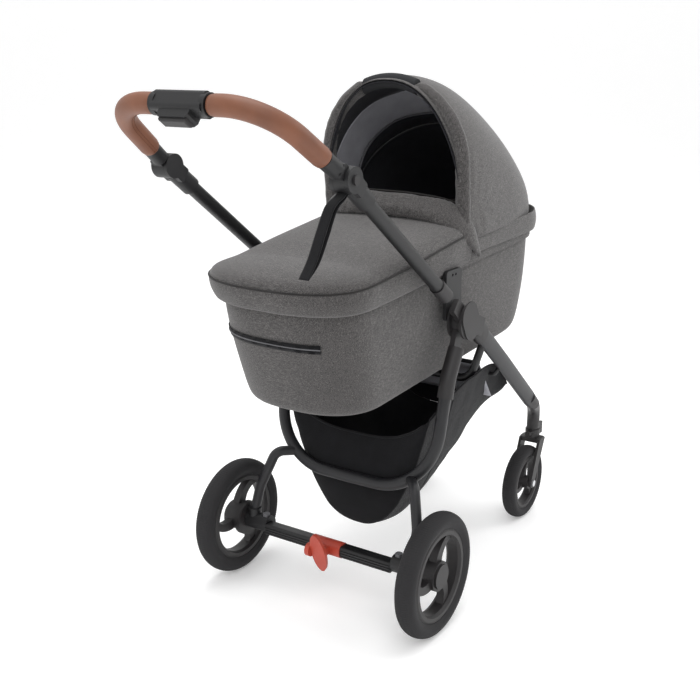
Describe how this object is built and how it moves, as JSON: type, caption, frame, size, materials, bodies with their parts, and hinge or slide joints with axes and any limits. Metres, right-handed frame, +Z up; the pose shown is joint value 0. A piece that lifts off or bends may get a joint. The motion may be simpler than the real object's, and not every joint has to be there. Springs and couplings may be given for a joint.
{
  "type": "baby stroller with carrycot",
  "caption": "Folding pram frame on wheels with a lift-off carrycot, hood, leather-gripped handlebar, basket, swivelling front casters and a foot brake.",
  "frame": {"origin": "on the floor, at the middle of the footprint box of the opened stroller", "axes": "+Z up, the stroller travels towards -Y, the handle is at +Y, +X is the pusher's left"},
  "size_m": [0.578, 1.1908, 1.152],
  "materials": {
    "satin_charcoal_alloy": "satin powder coat",
    "black_alloy": "matte powder coat",
    "charcoal_plastic": "moulded, satin",
    "black_plastic": "moulded, matte",
    "grey_plastic": "moulded, matte",
    "red_plastic": "moulded, satin",
    "steel": "zinc plated",
    "tan_leather": "stitched",
    "black_webbing": "woven webbing",
    "black_twill": "woven twill",
    "grey_melange_fabric": "woven melange",
    "white_knit": "knitted",
    "black_foam": "closed-cell foam",
    "black_tyre": "foam rubber tread"
  },
  "bodies": {
    "front_frame": {"front_leg_left": "satin_charcoal_alloy", "front_leg_right": "satin_charcoal_alloy", "fold_hub_left": "charcoal_plastic", "fold_hub_right": "charcoal_plastic", "hub_covers": "charcoal_plastic", "hub_bolts": "steel", "cot_adapters": "black_plastic", "cross_brace": "black_alloy", "caster_housing_left": "charcoal_plastic", "caster_housing_right": "charcoal_plastic", "basket": "black_twill", "basket_bar": "black_alloy"},
    "rear_frame": {"rear_sleeves": "charcoal_plastic", "rear_leg_frame": "satin_charcoal_alloy", "axle_arms": "satin_charcoal_alloy", "axle_housings": "black_plastic", "rear_axle_beam": "black_alloy"},
    "brake": {"brake_pedal": "red_plastic", "brake_pedal_disc": "red_plastic"},
    "push_frame": {"push_tubes": "black_alloy", "push_shoes": "charcoal_plastic", "handle_hinges_lower": "black_plastic", "wrist_strap": "black_webbing"},
    "handlebar": {"handlebar_tube": "black_alloy", "handle_grips": "tan_leather", "handle_housing": "black_plastic", "handle_hinges_upper": "black_plastic"},
    "trigger": {"fold_trigger": "charcoal_plastic"},
    "slider": {"fold_slider": "grey_plastic"},
    "cot": {"cot_tub": "grey_melange_fabric", "cot_rim": "grey_melange_fabric", "cot_lugs": "black_plastic", "mattress": "white_knit", "apron": "grey_melange_fabric", "hood_fabric": "grey_melange_fabric"},
    "hood": {"hood_front_bow": "black_alloy", "carry_grip": "black_foam"},
    "hood_rear": {"hood_rear_bow": "black_alloy"},
    "rear_wheel_left": {"rear_tyre_left": "black_tyre", "rear_rim_left": "charcoal_plastic", "rear_hub_cap_left": "charcoal_plastic", "rear_axle_pin_left": "steel"},
    "wheel_release_left": {"wheel_release_left": "grey_plastic"},
    "hinge_button_left": {"hinge_button_left": "charcoal_plastic"},
    "caster_left": {"caster_fork_left": "charcoal_plastic", "front_axle_left": "steel"},
    "front_wheel_left": {"front_tyre_left": "black_tyre", "front_rim_left": "charcoal_plastic"},
    "swivel_lock_left": {"swivel_lock_left": "grey_plastic"},
    "rear_wheel_right": {"rear_tyre_right": "black_tyre", "rear_rim_right": "charcoal_plastic", "rear_hub_cap_right": "charcoal_plastic", "rear_axle_pin_right": "steel"},
    "wheel_release_right": {"wheel_release_right": "grey_plastic"},
    "hinge_button_right": {"hinge_button_right": "charcoal_plastic"},
    "caster_right": {"caster_fork_right": "charcoal_plastic", "front_axle_right": "steel"},
    "front_wheel_right": {"front_tyre_right": "black_tyre", "front_rim_right": "charcoal_plastic"},
    "swivel_lock_right": {"swivel_lock_right": "grey_plastic"}
  },
  "joints": [
    {"name": "frame_fold", "type": "hinge", "parent": "front_frame", "child": "push_frame", "pos_m": [0, -0.05937, 0.636], "axis": [1, 0, 0], "range_deg": [0, 136]},
    {"name": "rear_fold", "type": "hinge", "parent": "front_frame", "child": "rear_frame", "pos_m": [0, -0.05937, 0.636], "axis": [1, 0, 0], "range_deg": [-40.5, 0], "deforming": ["basket"]},
    {"name": "handle_tilt", "type": "hinge", "parent": "push_frame", "child": "handlebar", "pos_m": [0, 0.39013, 0.9823], "axis": [1, 0, 0], "range_deg": [-30, 50]},
    {"name": "trigger_squeeze", "type": "slide", "parent": "handlebar", "child": "trigger", "axis": [0, -0.5906, 0.807], "range_m": [0, 0.006], "stiffness_N_per_m": 600},
    {"name": "slider_push", "type": "slide", "parent": "handlebar", "child": "slider", "axis": [1, 0, 0], "range_m": [0, 0.008], "stiffness_N_per_m": 300},
    {"name": "brake_press", "type": "hinge", "parent": "rear_frame", "child": "brake", "pos_m": [0, 0.15263, 0.13], "axis": [1, 0, 0], "range_deg": [-12, 18]},
    {"name": "cot_lift", "type": "slide", "parent": "front_frame", "child": "cot", "axis": [0, 0, 1], "range_m": [0, 0.12]},
    {"name": "hood_fold", "type": "hinge", "parent": "cot", "child": "hood", "pos_m": [0, -0.12337, 0.8], "axis": [1, 0, 0], "range_deg": [0, 85], "deforming": ["hood_fabric"]},
    {"name": "hood_rear_fold", "type": "hinge", "parent": "cot", "child": "hood_rear", "pos_m": [0, -0.12337, 0.8], "axis": [1, 0, 0], "range_deg": [0, 43]},
    {"name": "rear_wheel_left_spin", "type": "hinge", "parent": "rear_frame", "child": "rear_wheel_left", "pos_m": [0.266, 0.14663, 0.136], "axis": [1, 0, 0], "continuous": true},
    {"name": "wheel_release_left_press", "type": "slide", "parent": "rear_frame", "child": "wheel_release_left", "axis": [0, 0, -1], "range_m": [0, 0.004], "stiffness_N_per_m": 300},
    {"name": "hinge_button_left_press", "type": "slide", "parent": "push_frame", "child": "hinge_button_left", "axis": [-1, 0, 0], "range_m": [0, 0.003], "stiffness_N_per_m": 300},
    {"name": "caster_left_swivel", "type": "hinge", "parent": "front_frame", "child": "caster_left", "pos_m": [0.1755, -0.54837, 0.2], "axis": [0, 0, 1], "continuous": true},
    {"name": "front_wheel_left_spin", "type": "hinge", "parent": "caster_left", "child": "front_wheel_left", "pos_m": [0.1755, -0.49837, 0.097], "axis": [1, 0, 0], "continuous": true},
    {"name": "swivel_lock_left_press", "type": "slide", "parent": "front_frame", "child": "swivel_lock_left", "axis": [0, 0, -1], "range_m": [0, 0.005]},
    {"name": "rear_wheel_right_spin", "type": "hinge", "parent": "rear_frame", "child": "rear_wheel_right", "pos_m": [-0.266, 0.14663, 0.136], "axis": [1, 0, 0], "continuous": true},
    {"name": "wheel_release_right_press", "type": "slide", "parent": "rear_frame", "child": "wheel_release_right", "axis": [0, 0, -1], "range_m": [0, 0.004], "stiffness_N_per_m": 300},
    {"name": "hinge_button_right_press", "type": "slide", "parent": "push_frame", "child": "hinge_button_right", "axis": [1, 0, 0], "range_m": [0, 0.003], "stiffness_N_per_m": 300},
    {"name": "caster_right_swivel", "type": "hinge", "parent": "front_frame", "child": "caster_right", "pos_m": [-0.1755, -0.54837, 0.2], "axis": [0, 0, 1], "continuous": true},
    {"name": "front_wheel_right_spin", "type": "hinge", "parent": "caster_right", "child": "front_wheel_right", "pos_m": [-0.1755, -0.49837, 0.097], "axis": [1, 0, 0], "continuous": true},
    {"name": "swivel_lock_right_press", "type": "slide", "parent": "front_frame", "child": "swivel_lock_right", "axis": [0, 0, -1], "range_m": [0, 0.005]}
  ],
  "couplings": [
    {"joint": "rear_fold", "follows": "frame_fold", "ratio": -0.2941},
    {"joint": "hood_rear_fold", "follows": "hood_fold", "ratio": 0.5}
  ]
}
